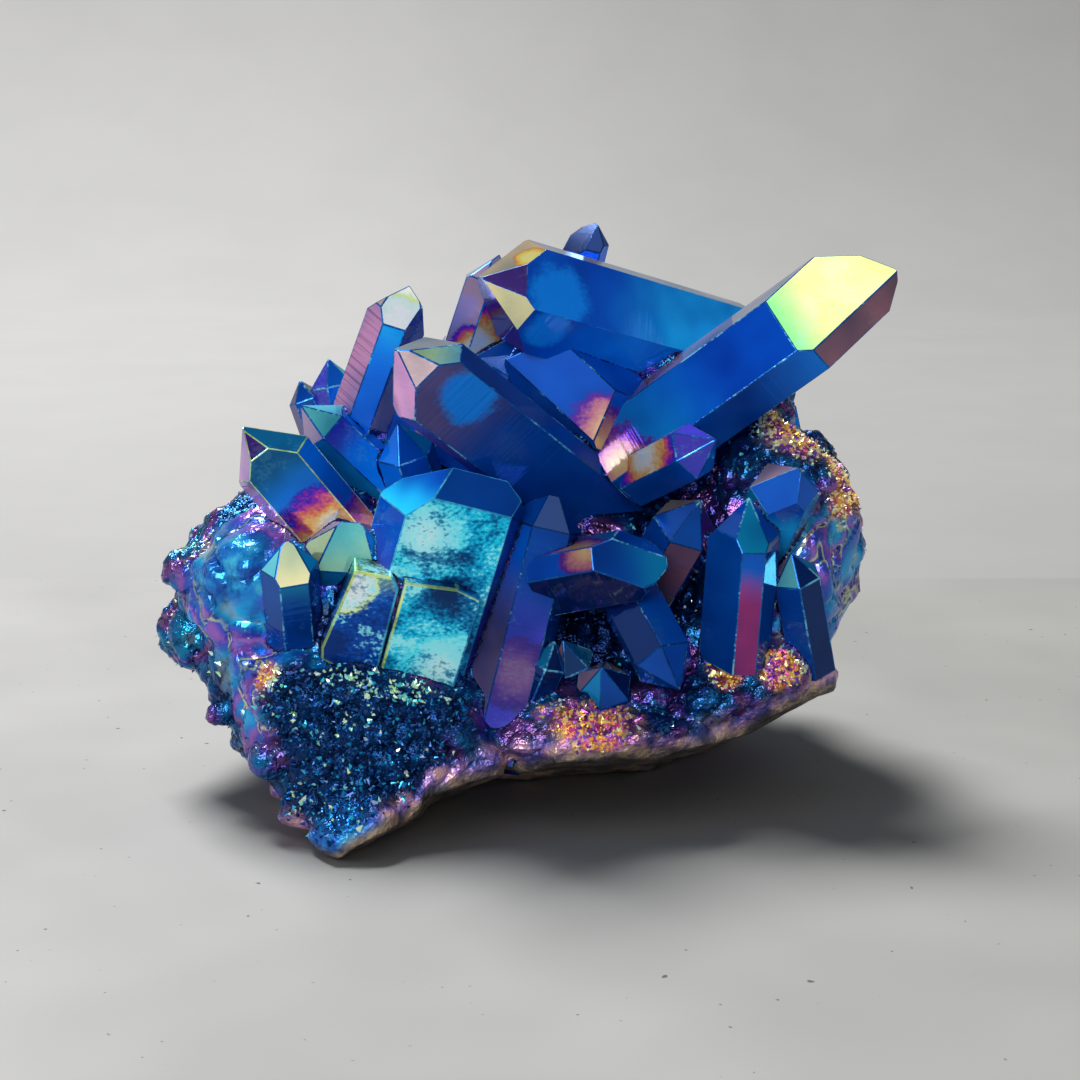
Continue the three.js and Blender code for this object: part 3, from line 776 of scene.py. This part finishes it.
def tinted(tree, factor, first, second):
    """One colour darkened or brightened by another."""
    return mix(tree, factor, first, second, "MULTIPLY")


def rise(tree, value, low, high):
    """A smooth rise from 0 at `low` to 1 at `high`."""
    inputs = {"Value": value, "From Min": low, "From Max": high}
    return new_node(tree, "MapRange", inputs, interpolation_type="SMOOTHSTEP").outputs["Result"]


def parts_of(tree, vector):
    """The three numbers of a vector."""
    return new_node(tree, "SeparateXYZ", {0: vector}).outputs


def noise_node(tree, vector, scale, detail, roughness=0.5):
    """Noise of so many features for each unit of the vector."""
    inputs = {"Vector": vector, "Scale": scale, "Detail": detail, "Roughness": roughness}
    return new_node(tree, "TexNoise", inputs).outputs["Fac"]


def ramp(tree, factor, stops):
    """A colour ramp from its stops: each one's place, red, green and blue."""
    node = new_node(tree, "ValToRGB", {"Fac": factor})
    elements = node.color_ramp.elements
    while len(elements) < len(stops):
        elements.new(0.5)
    for element, (place, *colour) in zip(elements, stops):
        element.position = place
        element.color = (*colour, 1.0)
    return node.outputs["Color"]


def relief(tree, height, strength):
    """The normal of small relief."""
    inputs = {"Strength": strength, "Distance": RELIEF_DEPTH, "Height": height}
    return new_node(tree, "Bump", inputs).outputs["Normal"]


def finish_material(tree, shader, **others):
    """Makes a shader the material's surface."""
    new_node(tree, "OutputMaterial", {"Surface": shader.outputs["BSDF"], **others})


BLACK, WHITE = (0, 0, 0), (1, 1, 1)
RELIEF_DEPTH = 0.0004

# The quartz: clear for this share, blue in its depth, under a film of this many nanometres.
CLEAR_IOR = 1.54
CLEAR_SHARE = 0.25
FILM_THICKNESS = 180.0
FILM_IOR = 1.72
FILM_TINT = (0.4, 0.68, 1.0)
ABSORPTION_COLOUR = (0.0, 0.5, 0.95)
ABSORPTION_DENSITY = 80.0

# Its noises, as scale and detail. The two finest are drawn out level.
CLOUDS = (90.0, 2.0)
PATCHES = (130.0, 2.0)
FINE = (2600.0, 1.5)
SWATHES = (400.0, 2.0)
STRETCH = (0.7, 0.7, 1.0)

# How far in millimetres a fade wanders, how rough a coat is and how much grain adds to that,
# and the fine lines that growth left across the sides.
FADE_WANDER = 8.0
COAT_ROUGHNESS = 0.07
GRAINY_ROUGHNESS = 0.15
GROWTH = (1.6, 1.0)
GROWTH_ACROSS = 0.04
GROWTH_HEIGHT = 0.25
GROWTH_STRENGTH = 0.35

# The slow drift of the coats, and the flecks where a coat is grainy, with painted glints.
DRIFT = [(0.3, 0.35, 0.5, 0.65), (0.5, *WHITE), (0.7, 1.8, 1.4, 1.2)]
DRIFT_SHARE = 0.9
FLECKS = [(0.42, 0.02, 0.09, 0.2), (0.475, 0.2, 0.4, 0.55), (0.52, *WHITE)]
PAINTED_GLINT_LEVELS = (0.53, 0.6)
PAINTED_GLINT = (0.3, 0.97, 1.0)

# Painted highlights: the film's runs of colour over a painted bright spot, from its edge to
# its middle. The matt ones lose their metal, and the blue one has bright painted refracted
# blue in its middle.
PAINTED_HIGHLIGHTS = {
    "rainbow": [(0.0, 0.01, 0.04, 0.5), (0.18, 0.06, 0.02, 0.6),
                (0.3, 0.5, 0.04, 0.45), (0.42, 0.95, 0.2, 0.12),
                (0.55, 1.0, 0.58, 0.16), (0.75, 1.0, 0.97, 0.75), (1.0, 0.85, 1.0, 1.0)],
    "warm": [(0.0, 0.03, 0.02, 0.45), (0.25, 0.16, 0.03, 0.36), (0.45, 0.6, 0.2, 0.3),
             (0.7, 0.8, 0.45, 0.28), (1.0, 0.9, 0.62, 0.3)],
    "gold": [(0.0, 0.3, 0.1, 0.2), (0.15, 0.8, 0.3, 0.1), (0.35, 1.0, 0.7, 0.1),
             (0.7, 1.0, 0.92, 0.3)],
    "plum": [(0.0, 0.03, 0.03, 0.3), (0.35, 0.09, 0.04, 0.32), (0.8, 0.24, 0.12, 0.34)],
    "glow": [(0.0, 0.01, 0.5, 0.85), (0.3, 0.06, 0.85, 1.0), (0.9, 0.6, 1.0, 1.0)],
    "mint": [(0.0, 0.3, 0.75, 0.2), (0.15, 0.85, 1.0, 0.3), (0.35, 0.75, 1.0, 0.95),
             (0.7, 0.95, 1.0, 0.98)],
}
MATT_HIGHLIGHTS = ("glow", "mint")
PAINTED_REFRACTED_BLUE = (0.004, 0.26, 1.0)
SPOT_METAL = 0.6
SPOT_SWATHES = 0.7
SPOT_FINE = 0.3
SPOT_EDGE = (0.02, 0.2)
BLUE_EDGE = (0.0, 0.4)


def is_kind(tree, kind, wanted):
    """1 where a face's bright spot is of the wanted kind, else 0."""
    return maths(tree, "COMPARE", kind, LIT_KINDS.index(wanted), 0.5)


def spotted(tree, across, along, colour, swathes, fine):
    """The coat's colour with its painted highlight, a bright spot in the film's colours, and how
    bright and how matt a place is.
    """
    lit = attribute(tree, "lit")
    sideways, lengthwise, radius = parts_of(tree, lit.outputs["Vector"])
    kind = lit.outputs["Alpha"]
    gaps = (maths(tree, "SUBTRACT", across, sideways),
            maths(tree, "SUBTRACT", along, lengthwise))
    squares = [maths(tree, "MULTIPLY", gap, gap) for gap in gaps]
    away = maths(tree, "SQRT", maths(tree, "ADD", *squares))
    share = maths(tree, "SUBTRACT", 1.0, maths(tree, "DIVIDE", away, radius))
    share = maths(tree, "SUBTRACT", share, (SPOT_SWATHES + SPOT_FINE) / 2)
    share = maths(tree, "MULTIPLY_ADD", swathes, SPOT_SWATHES, share)
    share = maths(tree, "MULTIPLY_ADD", fine, SPOT_FINE, share)
    weight = rise(tree, share, *SPOT_EDGE)
    bright, matt = 0.0, 0.0
    for name, stops in PAINTED_HIGHLIGHTS.items():
        amount = maths(tree, "MULTIPLY", weight, is_kind(tree, kind, name))
        colour = mix(tree, amount, colour, ramp(tree, share, stops))
        if name in MATT_HIGHLIGHTS:
            matt = maths(tree, "MAXIMUM", matt, amount)
        else:
            bright = maths(tree, "MAXIMUM", bright, amount)
    inside = rise(tree, share, *BLUE_EDGE)
    inside = maths(tree, "MULTIPLY", inside, is_kind(tree, kind, "blue"))
    return mix(tree, inside, colour, PAINTED_REFRACTED_BLUE), bright, matt


def flecked(tree, colour, grain, fine, swathes, patches):
    """A grainy coat's colour with dark flecks and painted glints, and how much a place glints."""
    level = weighted(tree, (swathes, 0.3), (fine, 0.25), (patches, 0.45))
    colour = tinted(tree, grain, colour, ramp(tree, level, FLECKS))
    painted_glints = maths(tree, "MULTIPLY", rise(tree, level, *PAINTED_GLINT_LEVELS), grain)
    return mix(tree, painted_glints, colour, PAINTED_GLINT), painted_glints


def growth_lines(tree, across, along, number):
    """The height of the growth lines across a crystal's sides."""
    inputs = {0: maths(tree, "MULTIPLY", across, GROWTH_ACROSS), 1: along, 2: number}
    lines = new_node(tree, "CombineXYZ", inputs).outputs[0]
    on_side = maths(tree, "LESS_THAN", number, SIDES - 0.5)
    growth = maths(tree, "MULTIPLY", noise_node(tree, lines, *GROWTH), on_side)
    return maths(tree, "MULTIPLY", growth, GROWTH_HEIGHT)


def crystal_material():
    """See-through blue quartz under a thin iridescent coat, with painted highlights and glints in
    its colour.
    """
    material, tree = new_material("coated_quartz")
    place = object_place(tree)
    near, far = attribute(tree, "coat"), attribute(tree, "far")
    start, end, grain = parts_of(tree, attribute(tree, "fade").outputs["Vector"])
    across, along, number = parts_of(tree, attribute(tree, "place").outputs["Vector"])
    clouds, patches = (noise_node(tree, place, *kind) for kind in (CLOUDS, PATCHES))
    stretched = new_node(tree, "Mapping", {"Vector": place, "Scale": STRETCH}).outputs[0]
    fine, swathes = (noise_node(tree, stretched, *kind) for kind in (FINE, SWATHES))

    wander = maths(tree, "MULTIPLY_ADD", clouds, FADE_WANDER, -FADE_WANDER / 2)
    share = rise(tree, maths(tree, "SUBTRACT", wander, along), start, end)
    colour = mix(tree, share, near.outputs["Color"], far.outputs["Color"])
    colour = tinted(tree, DRIFT_SHARE, colour, ramp(tree, clouds, DRIFT))
    # painted highlights and painted glints are laid into the colour here
    colour, spot, matt = spotted(tree, across, along, colour, swathes, fine)
    colour, painted_glints = flecked(tree, colour, grain, fine, swathes, patches)

    metal = mix_number(tree, share, near.outputs["Alpha"], far.outputs["Alpha"])
    matt = maths(tree, "MAXIMUM", matt, painted_glints)
    metal = maths(tree, "MULTIPLY", metal, maths(tree, "SUBTRACT", 1.0, matt))
    metal = maths(tree, "MAXIMUM", metal, maths(tree, "MULTIPLY", spot, SPOT_METAL))
    shader = new_node(tree, "BsdfPrincipled", {
        "Base Color": colour,
        "Metallic": metal,
        "Roughness": maths(tree, "MULTIPLY_ADD", grain, GRAINY_ROUGHNESS, COAT_ROUGHNESS),
        "Transmission Weight": CLEAR_SHARE,
        "IOR": CLEAR_IOR,
        "Specular Tint": FILM_TINT,
        "Thin Film Thickness": FILM_THICKNESS,
        "Thin Film IOR": FILM_IOR,
        "Normal": relief(tree, growth_lines(tree, across, along, number), GROWTH_STRENGTH),
    })
    inputs = {"Color": ABSORPTION_COLOUR, "Density": ABSORPTION_DENSITY}
    depth = new_node(tree, "VolumeAbsorption", inputs).outputs["Volume"]
    finish_material(tree, shader, Volume=depth)
    return material


# The base's noises, as scale, detail and roughness.
BASE_CLOUDS = (95.0, 2.0, 0.45)
BASE_PATCHES = (320.0, 3.0, 0.6)
BASE_FINE = (1800.0, 2.0)

# The base's runs of colour: over the polished and the rough lumps, painted highlights round
# the lumps, in the gilding, along the rim, in the sky-blue spots, on the bare stone, and
# painted shade into the creases.
SWIRLS = [(0.3, 0.3, 0.45, 0.5), (0.36, 0.01, 0.4, 0.8), (0.43, 0.01, 0.16, 0.55),
          (0.49, 0.06, 0.08, 0.55), (0.53, 0.32, 0.12, 0.5), (0.57, 0.03, 0.2, 0.65),
          (0.63, 0.02, 0.45, 0.8), (0.69, 0.4, 0.38, 0.3), (0.76, 0.1, 0.12, 0.5)]
ROUGH = [(0.34, 0.01, 0.05, 0.22), (0.42, 0.01, 0.16, 0.4), (0.48, 0.1, 0.06, 0.38),
         (0.53, 0.3, 0.12, 0.34), (0.58, 0.02, 0.1, 0.38), (0.66, 0.01, 0.27, 0.5),
         (0.74, 0.28, 0.22, 0.22)]
OUTLINE_HIGHLIGHTS = [(0.32, *BLACK), (0.36, *WHITE), (0.39, *WHITE), (0.45, *BLACK)]
GILDING = [(0.38, 0.7, 0.36, 0.06), (0.46, 0.55, 0.14, 0.08), (0.51, 0.4, 0.05, 0.3),
           (0.56, 0.12, 0.03, 0.4), (0.62, 1.0, 0.7, 0.22)]
PINKS = [(0.38, 0.1, 0.1, 0.4), (0.46, 0.46, 0.26, 0.6), (0.52, 0.75, 0.42, 0.55),
         (0.58, 0.85, 0.52, 0.4), (0.66, 0.24, 0.16, 0.48)]
SKIES = [(0.38, 0.01, 0.08, 0.4), (0.55, 0.01, 0.24, 0.68), (0.66, 0.05, 0.45, 0.7)]
STONE = [(0.38, 0.08, 0.07, 0.08), (0.5, 0.2, 0.17, 0.17), (0.6, 0.45, 0.34, 0.24)]
PAINTED_CREASE_SHADE = [(0.15, 0.1, 0.1, 0.16), (0.5, *WHITE)]
CREASE_SHADE_SHARE = 0.9
OUTLINED = (0.46, 0.56)
OUTLINE_HIGHLIGHT_TINT = (0.6, 0.68, 0.42)
DRUSY_GROUND = (0.002, 0.032, 0.13)
SHADE = (0.001, 0.015, 0.08)
BASE_METAL = 0.88
BASE_ROUGHNESS = 0.17
BASE_RELIEF = 0.6


def base_colour(tree, zone, clouds, patches):
    """The base's colour from its zones and noises, with painted highlights round the lumps and
    painted shade in the creases and the shaded zone.
    """
    bands = maths(tree, "MULTIPLY_ADD", zone["contour"], 0.16, clouds)
    bands = maths(tree, "SUBTRACT", bands, 0.13)
    bands = maths(tree, "MULTIPLY_ADD", patches, 0.06, bands)
    edge = maths(tree, "MULTIPLY_ADD", patches, 0.3, zone["contour"])
    streaks = weighted(tree, (patches, 0.85), (zone["contour"], 0.15))
    outlined = rise(tree, clouds, *OUTLINED)
    outline = maths(tree, "MULTIPLY", ramp(tree, edge, OUTLINE_HIGHLIGHTS), outlined)
    swirl = mix(tree, outline, ramp(tree, bands, SWIRLS), OUTLINE_HIGHLIGHT_TINT)
    colour = mix(tree, zone["polished"], ramp(tree, bands, ROUGH), swirl)
    for name, over in (("drusy", DRUSY_GROUND), ("rim", ramp(tree, streaks, PINKS)),
                       ("gilded", ramp(tree, patches, GILDING)),
                       ("sky", ramp(tree, patches, SKIES)), ("shaded", SHADE),
                       ("under", ramp(tree, patches, STONE))):
        colour = mix(tree, zone[name], colour, over)
    return tinted(tree, CREASE_SHADE_SHARE, colour, ramp(tree, zone["crease_shade"], PAINTED_CREASE_SHADE))


def base_material():
    """The druse's metallic coat, in bands that follow the lumps."""
    material, tree = new_material("coated_druse")
    place = object_place(tree)
    zone = {name: attribute(tree, name).outputs["Fac"]
            for name in (*ZONES, "under", "rim", "crease_shade", "contour")}
    clouds, patches, fine = (noise_node(tree, place, *kind)
                             for kind in (BASE_CLOUDS, BASE_PATCHES, BASE_FINE))
    matt = maths(tree, "MAXIMUM", zone["rim"], zone["under"])
    metal = maths(tree, "MULTIPLY_ADD", zone["polished"], -0.3, BASE_METAL)
    metal = maths(tree, "MULTIPLY_ADD", matt, -0.3, metal)
    calm = maths(tree, "MULTIPLY_ADD", zone["polished"], -0.8, 1.0)
    shader = new_node(tree, "BsdfPrincipled", {
        "Base Color": base_colour(tree, zone, clouds, patches),
        "Metallic": maths(tree, "MULTIPLY_ADD", zone["gilded"], -0.4, metal),
        "Roughness": maths(tree, "MULTIPLY_ADD", matt, 0.25, BASE_ROUGHNESS),
        "Normal": relief(tree, maths(tree, "MULTIPLY", fine, calm), BASE_RELIEF),
    })
    finish_material(tree, shader)
    return material


# The small points grown on the base: how many, their sizes and leans, how far they keep from
# the crystals, and how thickly they grow outside the drusy zones and in the gilded ones. Some
# of them get painted sparkle, the bright upper end of their shades as painted highlights: more
# in patches and higher up, where light falls on the top.
GRAIN_COUNT = 13000
GRAIN_SIZE = (0.35, 1.0)
GRAIN_TALL = (0.7, 1.3)
GRAIN_SUNK = 0.35
GRAIN_LEAN = 0.5
GRAIN_GAP = 0.2
GRAINS_ANYWHERE = 0.05
GRAINS_GILDED = 1.3
SPARK_CELL = 3.0
SPARK_RISE = (13, 20)
SPARK_PATCH = (0.7, 1.2)
PAINTED_SPARK_SHADE = 0.75
GRAIN_METAL = 0.5
GRAIN_ROUGHNESS = 0.15
GRAIN_COLD = [(0.0, 0.002, 0.02, 0.08), (0.35, 0.0, 0.05, 0.2), (0.55, 0.003, 0.03, 0.2),
              (0.7, 0.0, 0.2, 0.5), (0.78, 0.05, 0.7, 0.85), (0.88, 0.65, 1.0, 0.45),
              (0.95, 0.8, 1.0, 0.9), (1.0, 0.1, 0.3, 1.0)]
GRAIN_WARM = [(0.0, 1.0, 0.66, 0.12), (0.25, 1.0, 0.46, 0.06), (0.36, 0.9, 0.08, 0.4),
              (0.5, 0.22, 0.04, 0.6), (0.6, 1.0, 0.7, 0.14), (1.0, 1.0, 0.95, 0.65)]


def grain_density(mesh, corners, middles):
    """How thickly the grains grow on each triangle, and how gilded it is."""
    share = {}
    for name in ("drusy", "gilded", "rim", "under", "polished", "shaded"):
        values = np.empty(len(mesh.vertices))
        mesh.attributes[name].data.foreach_get("value", values)
        share[name] = values[corners].mean(1)
    density = GRAINS_ANYWHERE + share["drusy"]
    density *= (1 - share["rim"]) * (1 - 0.95 * share["polished"]) * (1 - share["shaded"])
    density = (density + GRAINS_GILDED * share["gilded"]) * (1 - share["under"])
    return density * (gap_to_crystals(middles) > GRAIN_GAP), share["gilded"]


def grain_places(base, rng):
    """Random places on the base for grains: points, ways out and how gilded it is there."""
    mesh = base.data
    mesh.calc_loop_triangles()
    points, outward = points_of(mesh)
    corners = np.empty(3 * len(mesh.loop_triangles), int)
    mesh.loop_triangles.foreach_get("vertices", corners)
    corners = corners.reshape(-1, 3)
    a, b, c = points[corners[:, 0]], points[corners[:, 1]], points[corners[:, 2]]
    area = np.linalg.norm(np.cross(b - a, c - a), axis=1) / 2
    density, gilded = grain_density(mesh, corners, (a + b + c) / 3)
    weight = area * density
    chosen = rng.choice(len(weight), size=GRAIN_COUNT, p=weight / weight.sum())
    along, across = rng.random((2, GRAIN_COUNT, 1))
    along = np.sqrt(along)
    spots = (1 - along) * a[chosen] + along * (1 - across) * b[chosen] + along * across * c[chosen]
    return spots, outward[corners[chosen]].mean(1), gilded[chosen]


def grain_points(spot, way, rng):
    """A small quartz point's corners: a ring round its foot, and its tip."""
    axis = unit(way + GRAIN_LEAN * rng.normal(size=3))
    right = unit(np.cross(axis, (0.3, 0.5, 0.8)))
    up = np.cross(axis, right)
    size = rng.uniform(*GRAIN_SIZE) * (0.6 + 0.4 * rng.random())
    tall = size * rng.uniform(*GRAIN_TALL)
    spin = np.arange(SIDES) * SIDE_TURN + rng.random() * SIDE_TURN
    ring = (np.cos(spin)[:, None] * right + np.sin(spin)[:, None] * up) * size / 2
    foot = spot - axis * GRAIN_SUNK * tall
    return [*(foot + ring), foot + axis * tall]


def grain_mesh(base, material):
    """Thousands of small quartz points on the base, as one mesh."""
    rng = np.random.default_rng(7)
    spots, ways, gilded = grain_places(base, rng)
    # painted sparkle: bright shades for some points, more in patches and higher up
    clusters = noise_at(spots, SPARK_CELL) + smoothstep(*SPARK_RISE, spots[:, 2])
    painted_sparks = rng.random(GRAIN_COUNT) < 0.05 + 0.8 * smoothstep(*SPARK_PATCH, clusters)
    shades = np.where(painted_sparks, rng.uniform(PAINTED_SPARK_SHADE, 1, GRAIN_COUNT),
                      rng.uniform(0, PAINTED_SPARK_SHADE, GRAIN_COUNT))
    verts, faces, tints = [], [], []
    for spot, way, gild, shade in zip(spots, ways, gilded, shades):
        start = len(verts)
        verts.extend(grain_points(spot, way, rng))
        faces.extend((start + k, start + (k + 1) % SIDES, start + SIDES) for k in range(SIDES))
        faces.append(tuple(start + k for k in reversed(range(SIDES))))
        tints.extend([(gild, shade, 0)] * (SIDES + 1))
    mesh = bpy.data.meshes.new("druse_grains")
    mesh.from_pydata([tuple(vert) for vert in verts], [], faces)
    layer = mesh.attributes.new("tint", "FLOAT_VECTOR", "FACE")
    layer.data.foreach_set("vector", np.array(tints).ravel())
    mesh.transform(Matrix.Scale(MM, 4) @ Matrix.Translation(-MIDDLE))
    mesh.materials.append(material)
    grains = add_object("druse_grains", mesh)
    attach(grains, "root")
    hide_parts("quartz_cluster")


def grain_material():
    """Small quartz points: dark teal to blue, and gold to magenta in the gilded zones, with
    painted sparkle at the bright end of each.
    """
    material, tree = new_material("coated_grains")
    gild, shade, _ = parts_of(tree, attribute(tree, "tint").outputs["Vector"])
    cold, warm = (ramp(tree, shade, stops) for stops in (GRAIN_COLD, GRAIN_WARM))
    finish_material(tree, new_node(tree, "BsdfPrincipled", {
        "Base Color": mix(tree, gild, cold, warm),
        "Metallic": GRAIN_METAL,
        "Roughness": GRAIN_ROUGHNESS,
    }))
    return material


def cluster():
    """The whole cluster: the crystals and the base as one closed mesh, and the grains."""
    rng = random.Random(5)
    base = base_object()
    grain_mesh(base, grain_material())
    crystal = crystal_material()
    druse = base_material()
    parts = [crystal_object(spec, f"crystal_{n}", rng) for n, spec in enumerate(CRYSTALS)]
    for n, step in enumerate(zip(STEPS, STEP_COATS, STEP_LIT)):
        parts.append(step_object(*step, f"step_{n}", rng))
    for thing in (base, *parts):
        thing.data.materials.append(druse)
        thing.data.materials.append(crystal)
    for part in parts:
        part.data.polygons.foreach_set("material_index", np.ones(len(part.data.polygons), int))
    piece = joined(base, parts)
    piece.name = "quartz_crystals"
    piece.data.transform(Matrix.Scale(MM, 4) @ Matrix.Translation(-MIDDLE))
    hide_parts("quartz_cluster")
    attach(piece, "root")


# The camera stands where the photograph was taken from: its focal length is in pixels of
# the photograph's width, turned into millimetres of the sensor.
PHOTO_WIDTH = 1080
FOCAL_PIXELS = 2200
SENSOR = 36
CAMERA_AT = Vector((0, -293.2, 101.5))
CAMERA_PITCH = math.radians(13.0)


def camera():
    """The camera, at the photograph's viewing angle."""
    data = bpy.data.cameras.new("camera")
    data.lens = FOCAL_PIXELS / PHOTO_WIDTH * SENSOR
    data.sensor_width = SENSOR
    eye = add_object("camera", data)
    eye.location = (CAMERA_AT - MIDDLE) * MM
    eye.rotation_euler = (math.pi / 2 - CAMERA_PITCH, 0, 0)
    scene.camera = eye


# The stage, in metres. One sheet makes the floor and, far enough behind to leave room for
# views from the back, turns up in a wide curve. Behind the line it takes the wall's tone.
# Each tone is one on the left and one on the right, darker on the right, and the floor's falls
# off to the back; both are painted shade.
LINE_Y = 0.108
LINE_BLUR = 0.001
CURVE_Y = 0.5
CURVE_RADIUS = 0.25
CURVE_STEPS = 13
STAGE_HALF = 6.0
WALL_HEIGHT = 0.7
FLOOR_TONES = ((0.49, 0.485, 0.476), (0.385, 0.385, 0.366))
WALL_TONES = ((0.42, 0.416, 0.408), (0.365, 0.362, 0.354))
TONE_FALL = 0.1
FLOOR_FALL = (-0.2, 0.1)
PAINTED_FLOOR_FALLOFF = [(0.0, 1.06, 1.06, 1.06), (1.0, 0.9, 0.9, 0.9)]
FLOOR_CLOUDS = (22.0, 2.0, 0.6)
CLOUD_TONES = [(0.35, 0.93, 0.93, 0.93), (0.65, 1.04, 1.04, 1.04)]
WALL_CLOUDED = 0.3
PITS = (700.0, 1.0)
PIT_TONES = [(0.19, 0.35, 0.35, 0.35), (0.24, *WHITE)]


def floor_material():
    """Pale plaster and concrete with faint clouds and small pits, darker towards the right and the
    back as painted shade.
    """
    material, tree = new_material("floor")
    place = object_place(tree)
    sideways, back, _ = parts_of(tree, place)
    # painted shade: darker to the right, and the floor darker towards the back
    right = rise(tree, sideways, -TONE_FALL, TONE_FALL)
    front_tone, wall_tone = (mix(tree, right, *tones) for tones in (FLOOR_TONES, WALL_TONES))
    painted_falloff = ramp(tree, rise(tree, back, *FLOOR_FALL), PAINTED_FLOOR_FALLOFF)
    front_tone = tinted(tree, 1.0, front_tone, painted_falloff)
    behind = rise(tree, back, LINE_Y - LINE_BLUR, LINE_Y + LINE_BLUR)
    tone = mix(tree, behind, front_tone, wall_tone)
    clouds = ramp(tree, noise_node(tree, place, *FLOOR_CLOUDS), CLOUD_TONES)
    tone = tinted(tree, mix_number(tree, behind, 1.0, WALL_CLOUDED), tone, clouds)
    pits = ramp(tree, noise_node(tree, place, *PITS), PIT_TONES)
    tone = tinted(tree, maths(tree, "SUBTRACT", 1.0, behind), tone, pits)
    finish_material(tree, new_node(tree, "BsdfDiffuse", {"Color": tone}))
    return material


def stage():
    """The floor and its sweep."""
    curve = [(CURVE_Y + CURVE_RADIUS * math.sin(turn), CURVE_RADIUS * (1 - math.cos(turn)))
             for turn in np.linspace(0, math.pi / 2, CURVE_STEPS)]
    line = [(-STAGE_HALF, 0), *curve, (CURVE_Y + CURVE_RADIUS, WALL_HEIGHT)]
    corners = [(x, y, z) for y, z in line for x in (-STAGE_HALF, STAGE_HALF)]
    faces = [(2 * i, 2 * i + 1, 2 * i + 3, 2 * i + 2) for i in range(len(line) - 1)]
    mesh = bpy.data.meshes.new("floor")
    mesh.from_pydata(corners, [], faces)
    mesh.shade_smooth()
    mesh.materials.append(floor_material())
    floor = add_object("floor", mesh)


# Soft studio light, in metres and watts: each softbox's name, place, size and power. The
# flagged ones light the cluster and leave the floor alone.
LIGHTS = [("key", (-0.33, 0.45, 1.1), (0.42, 0.42), 21),
          ("window", (-0.75, -0.1, 0.34), (0.6, 0.6), 0.6)]
FLAGGED_LIGHTS = [("right", (0.26, -0.14, 0.6), (0.26, 0.26), 0.34),
                  ("front", (0.1, -1.05, 0.22), (1.2, 0.6), 1.5),
                  ("fill", (-0.25, -0.85, 0.49), (0.5, 0.5), 7.0)]
LIGHTS_AIM = Vector((0, 0, 0.04))
ROOM_TINT = (0.9, 0.94, 1.0, 1.0)
ROOM_STRENGTH = 0.14


def area_light(name, at, size, power):
    """A softbox that looks at the cluster and isn't seen itself."""
    data = bpy.data.lights.new(name, "AREA")
    data.shape = "RECTANGLE"
    data.size, data.size_y = size
    data.energy = power
    lamp = add_object(name, data)
    lamp.location = at
    lamp.rotation_euler = (LIGHTS_AIM - Vector(at)).to_track_quat("-Z", "Y").to_euler()
    lamp.visible_camera = False
    return lamp


def lighting():
    """The softboxes, and faint light from the whole room."""
    flagged = bpy.data.collections.new("flagged")
    for thing in scene.objects:
        if thing.type == "MESH" and thing.name != "floor":
            flagged.objects.link(thing)
    world = bpy.data.worlds.new("studio")
    scene.world = world
    world.use_nodes = True
    room = world.node_tree.nodes["Background"]
    room.inputs["Color"].default_value = ROOM_TINT
    room.inputs["Strength"].default_value = ROOM_STRENGTH
    for light in LIGHTS:
        area_light(*light)
    for light in FLAGGED_LIGHTS:
        area_light(*light).light_linking.receiver_collection = flagged
    scene.view_settings.view_transform = "Standard"


camera()
stage()
cluster()
lighting()
